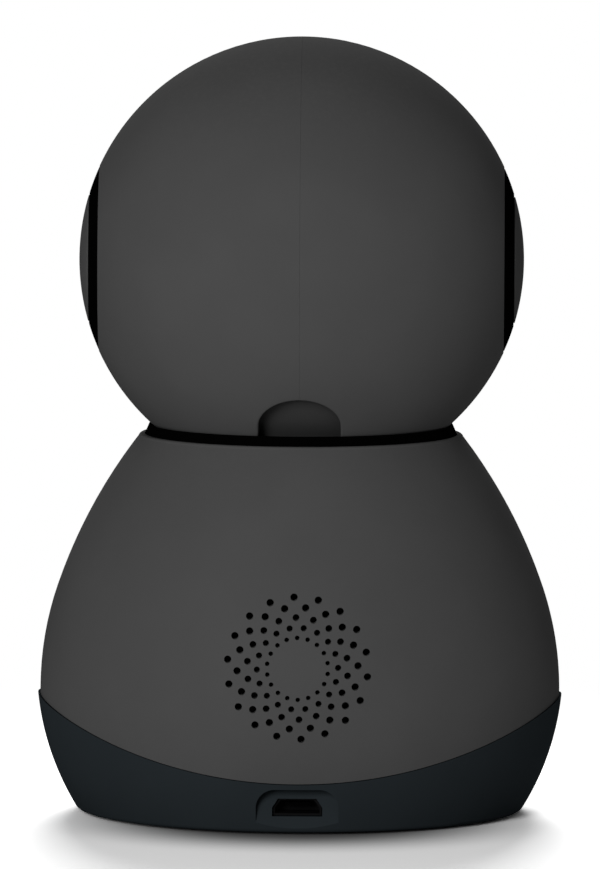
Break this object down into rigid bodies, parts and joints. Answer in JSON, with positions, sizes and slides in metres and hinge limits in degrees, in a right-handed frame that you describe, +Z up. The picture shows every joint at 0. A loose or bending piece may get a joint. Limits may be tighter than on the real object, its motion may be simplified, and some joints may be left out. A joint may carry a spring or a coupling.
{
  "type": "baby monitor",
  "caption": "Pan and tilt baby monitor: a ball head with a camera on a bell-shaped body with a speaker, a power socket and a dark cradle base.",
  "frame": {"origin": "middle of the footprint, on the plane that the feet stand on", "axes": "+Z up; the lens faces -Y; the speaker and the power socket are at the back, towards +Y; +X is to the right seen from the front side looking along +Y"},
  "size_m": [0.0826, 0.0818, 0.1222],
  "materials": {
    "grey_shell": "fine satin grey moulding",
    "dark_base": "satin dark slate moulding",
    "black_plastic": "matt black moulding",
    "shield_grey": "matt grey moulding",
    "socket_nickel": "dark nickel plated sheet",
    "foot_rubber": "soft matt rubber",
    "steel": "bright plated steel",
    "motor_steel": "drawn steel can",
    "insert_brass": "turned brass",
    "circuit_board": "green solder mask",
    "speaker_steel": "black painted frame",
    "magnet": "dark sintered magnet",
    "cone_paper": "black pressed paper",
    "gear_white": "natural white acetal",
    "frame_plastic": "black structural moulding",
    "window_gloss": "gloss black window",
    "ring_gloss": "gloss black bezel",
    "lens_coated": "coated glass",
    "lamp_clear": "tinted lamp resin"
  },
  "bodies": {
    "base": {"base_screw_1": "steel", "base_screw_2": "steel", "base_screw_3": "steel", "bearing_deck": "frame_plastic", "body_shell": "grey_shell", "deck_screw_1": "steel", "deck_screw_2": "steel", "deck_screw_3": "steel", "lower_cradle": "dark_base", "main_board": "circuit_board", "neck_collar": "black_plastic", "pan_motor": "motor_steel", "pan_motor_screw_1": "steel", "pan_motor_screw_2": "steel", "processor": "black_plastic", "radio_can": "steel", "rubber_foot_1": "foot_rubber", "rubber_foot_2": "foot_rubber", "rubber_foot_3": "foot_rubber", "rubber_foot_4": "foot_rubber", "speaker_cone": "cone_paper", "speaker_frame": "speaker_steel", "speaker_magnet": "magnet", "tact_switch": "black_plastic", "tripod_insert": "insert_brass", "usb_shell": "socket_nickel", "usb_tongue": "black_plastic"},
    "head": {"head_shell_right": "grey_shell", "head_shell_left": "grey_shell", "tilt_gear": "gear_white", "face_carrier": "frame_plastic", "face_window": "window_gloss", "camera_board": "circuit_board", "lens_barrel": "black_plastic", "lens_ring": "ring_gloss", "lens_glass": "lens_coated", "light_sensor": "lamp_clear", "ir_lamp_1": "lamp_clear", "ir_lamp_2": "lamp_clear", "ir_lamp_3": "lamp_clear", "ir_lamp_4": "lamp_clear", "ir_lamp_5": "lamp_clear", "ir_lamp_6": "lamp_clear"},
    "pan_carriage": {"turntable": "black_plastic", "turntable_clip": "steel", "pan_gear": "gear_white", "yoke": "frame_plastic", "slot_shield": "shield_grey", "trunnion_right": "black_plastic", "trunnion_left": "black_plastic", "ear_cap_right": "grey_shell", "ear_cap_left": "grey_shell", "pivot_screw_right": "steel", "pivot_screw_left": "steel", "tilt_motor": "motor_steel", "tilt_motor_screw_1": "steel", "tilt_motor_screw_2": "steel"},
    "pan_pinion_shaft": {"pan_pinion": "gear_white"},
    "tilt_pinion_shaft": {"tilt_pinion": "gear_white"},
    "pair_button": {"reset_button": "black_plastic"}
  },
  "joints": [
    {"name": "head_pan", "type": "hinge", "parent": "base", "child": "pan_carriage", "pos_m": [0, 0, 0.046], "axis": [0, 0, 1], "range_deg": [-177.5, 177.5]},
    {"name": "head_tilt", "type": "hinge", "parent": "pan_carriage", "child": "head", "pos_m": [0, 0, 0.0872], "axis": [-1, 0, 0], "range_deg": [-30, 43]},
    {"name": "pan_pinion_spin", "type": "hinge", "parent": "base", "child": "pan_pinion_shaft", "pos_m": [0, -0.018, 0.046], "axis": [0, 0, 1], "range_deg": [-711, 711]},
    {"name": "tilt_pinion_spin", "type": "hinge", "parent": "pan_carriage", "child": "tilt_pinion_shaft", "pos_m": [0.0205, 0.0168, 0.0872], "axis": [-1, 0, 0], "range_deg": [-160, 112]},
    {"name": "pair_button_press", "type": "slide", "parent": "base", "child": "pair_button", "axis": [0, 0, 1], "range_m": [0, 0.0005], "stiffness_N_per_m": 400}
  ],
  "couplings": [
    {"joint": "pan_pinion_spin", "follows": "head_pan", "ratio": -4},
    {"joint": "tilt_pinion_spin", "follows": "head_tilt", "ratio": -3.6667}
  ]
}
